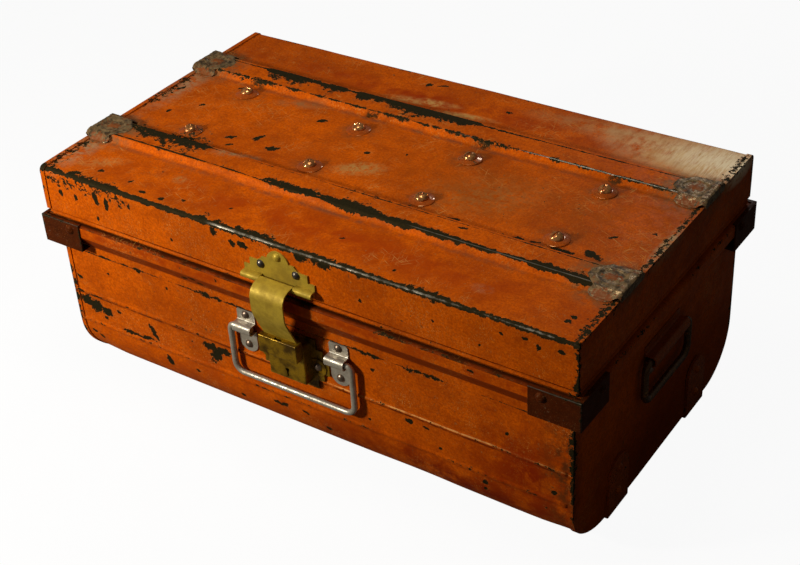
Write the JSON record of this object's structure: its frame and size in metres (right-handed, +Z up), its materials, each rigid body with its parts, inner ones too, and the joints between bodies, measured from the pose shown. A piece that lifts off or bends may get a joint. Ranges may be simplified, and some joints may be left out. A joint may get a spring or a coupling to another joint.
{
  "type": "small tin trunk",
  "caption": "Small sheet-steel trunk with a hinged ribbed lid, rim band, corner plates, front hasp and lock, a front wire handle and a wire handle on each end.",
  "frame": {"origin": "on the ground below the middle of the whole trunk, closed, with its hasp and hinges", "axes": "+X along the length to the right of the front, +Y towards the back hinges, +Z up"},
  "size_m": [0.4632, 0.2881, 0.1919],
  "materials": {
    "orange_paint": "brushed orange enamel on sheet steel, chipped to dark metal along the edges",
    "brown_paint": "dark red-brown enamel, scratched and dull",
    "worn_paint": "orange enamel worn off to grey metal on the high points",
    "cap_steel": "dull pressed steel with rust in its low places",
    "plain_steel": "plain mill-finished steel",
    "handle_steel": "bare steel gone grey, with brown stains",
    "old_brass": "aged brass plate, dull olive gold",
    "dark_steel": "dark oxidised steel",
    "hinge_steel": "orange enamel over steel, rubbed bright on the barrels",
    "rivet_steel": "dull domed steel rivets"
  },
  "bodies": {
    "body": {"body_end_left": "orange_paint", "body_end_right": "orange_paint", "body_wrapper": "orange_paint", "corner_plate_back_left": "brown_paint", "corner_plate_back_right": "brown_paint", "corner_plate_front_left": "brown_paint", "corner_plate_front_right": "brown_paint", "corner_plate_rivets": "rivet_steel", "front_handle_clip_left": "handle_steel", "front_handle_clip_right": "handle_steel", "front_handle_rivets": "rivet_steel", "hinge_body_leaf_left": "hinge_steel", "hinge_body_leaf_right": "hinge_steel", "hinge_body_rivets": "hinge_steel", "hinge_pin_left": "hinge_steel", "hinge_pin_right": "hinge_steel", "left_handle_clip": "handle_steel", "left_handle_rivets": "rivet_steel", "lock_backplate": "old_brass", "lock_bolt_keeper": "dark_steel", "lock_case": "old_brass", "lock_rivets": "dark_steel", "right_handle_clip": "handle_steel", "right_handle_rivets": "rivet_steel", "rim_band": "orange_paint", "runner_back": "brown_paint", "runner_front": "brown_paint", "runner_rivets": "rivet_steel"},
    "lid": {"hasp_brass_rivet": "old_brass", "hasp_pin": "dark_steel", "hasp_plate": "old_brass", "hasp_rivets": "dark_steel", "hinge_lid_leaf_left": "hinge_steel", "hinge_lid_leaf_right": "hinge_steel", "hinge_lid_rivets": "hinge_steel", "lid_batten_1": "plain_steel", "lid_batten_2": "plain_steel", "lid_batten_3": "plain_steel", "lid_batten_4": "plain_steel", "lid_bolts": "worn_paint", "lid_end_left": "orange_paint", "lid_end_right": "orange_paint", "lid_nuts": "plain_steel", "lid_rim_bead": "orange_paint", "lid_sheet": "orange_paint", "lid_washers": "worn_paint", "rib_cap_back_left": "cap_steel", "rib_cap_back_right": "cap_steel", "rib_cap_front_left": "cap_steel", "rib_cap_front_right": "cap_steel"},
    "hasp": {"hasp_strap": "old_brass", "hasp_head": "old_brass", "hasp_staple": "dark_steel"},
    "front_handle": {"front_handle_bail": "handle_steel"},
    "left_handle": {"left_handle_bail": "handle_steel"},
    "right_handle": {"right_handle_bail": "handle_steel"},
    "lock_bolt": {"lock_bolt": "dark_steel"}
  },
  "joints": [
    {"name": "lid_hinge", "type": "hinge", "parent": "body", "child": "lid", "pos_m": [0, 0.14105, 0.1443], "axis": [-1, 0, 0], "range_deg": [0, 110]},
    {"name": "hasp_hinge", "type": "hinge", "parent": "lid", "child": "hasp", "pos_m": [-0.003, -0.13065, 0.1558], "axis": [-1, 0, 0], "range_deg": [0, 95]},
    {"name": "front_handle_swing", "type": "hinge", "parent": "body", "child": "front_handle", "pos_m": [-0.003, -0.1253, 0.1016], "axis": [-1, 0, 0], "range_deg": [0, 145]},
    {"name": "left_handle_swing", "type": "hinge", "parent": "body", "child": "left_handle", "pos_m": [-0.2244, 0.00425, 0.104], "axis": [0, 1, 0], "range_deg": [0, 150]},
    {"name": "right_handle_swing", "type": "hinge", "parent": "body", "child": "right_handle", "pos_m": [0.2244, 0.00425, 0.104], "axis": [0, -1, 0], "range_deg": [0, 150]},
    {"name": "lock_bolt_slide", "type": "slide", "parent": "body", "child": "lock_bolt", "axis": [1, 0, 0], "range_m": [0, 0.0046]}
  ]
}
